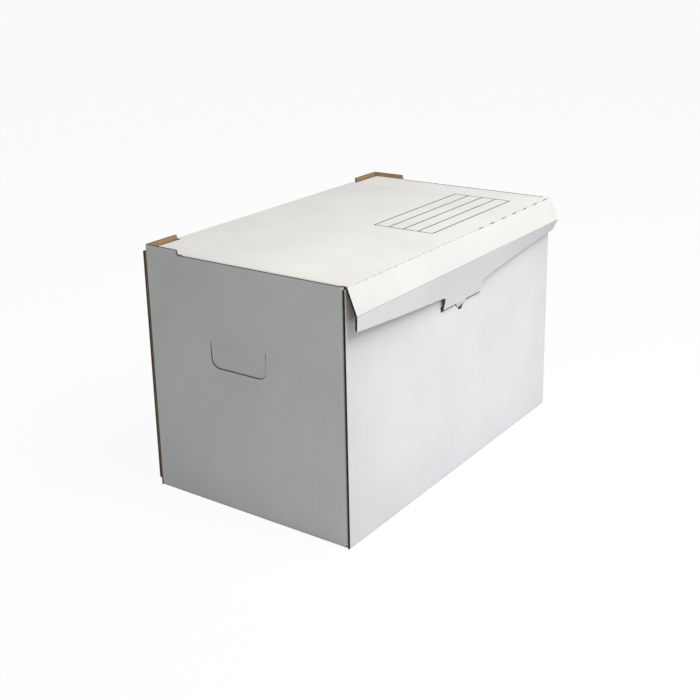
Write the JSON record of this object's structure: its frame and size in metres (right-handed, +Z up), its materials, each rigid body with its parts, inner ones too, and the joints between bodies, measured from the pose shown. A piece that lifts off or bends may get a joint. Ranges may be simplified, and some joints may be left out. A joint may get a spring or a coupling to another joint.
{
  "type": "archive storage box",
  "caption": "Corrugated board archive box for files, with a lid hinged at the back, a front flap with a lock tongue, and a push-in hand hole in each short side.",
  "frame": {"origin": "middle of the tray's underside, on the surface that the box stands on", "axes": "+X along the long side, -Y out of the front wall that carries the flap and tongue, +Z up"},
  "size_m": [0.53, 0.3337, 0.341],
  "materials": {
    "tray_board": "white-faced corrugated board, matt",
    "lid_board": "white-faced corrugated board, matt"
  },
  "bodies": {
    "tray": {"tray": "tray_board"},
    "lid": {"lid": "lid_board"},
    "front_flap": {"front_flap": "lid_board"},
    "lock_tongue": {"lock_tongue": "lid_board"},
    "left_hand_flap": {"left_hand_flap": "tray_board"},
    "right_hand_flap": {"right_hand_flap": "tray_board"}
  },
  "joints": [
    {"name": "lid_hinge", "type": "hinge", "parent": "tray", "child": "lid", "pos_m": [0, 0.159, 0.335], "axis": [-1, 0, 0], "range_deg": [0, 210]},
    {"name": "front_flap_crease", "type": "hinge", "parent": "lid", "child": "front_flap", "pos_m": [0, -0.16152, 0.335], "axis": [-1, 0, 0], "range_deg": [0, 115]},
    {"name": "lock_tongue_crease", "type": "hinge", "parent": "front_flap", "child": "lock_tongue", "pos_m": [0, -0.17482, 0.30208], "axis": [-1, 0, 0], "range_deg": [0, 95]},
    {"name": "left_hand_flap_crease", "type": "hinge", "parent": "tray", "child": "left_hand_flap", "pos_m": [-0.262, 0.006, 0.231], "axis": [0, -1, 0], "range_deg": [0, 90]},
    {"name": "right_hand_flap_crease", "type": "hinge", "parent": "tray", "child": "right_hand_flap", "pos_m": [0.262, 0.006, 0.231], "axis": [0, 1, 0], "range_deg": [0, 90]}
  ]
}
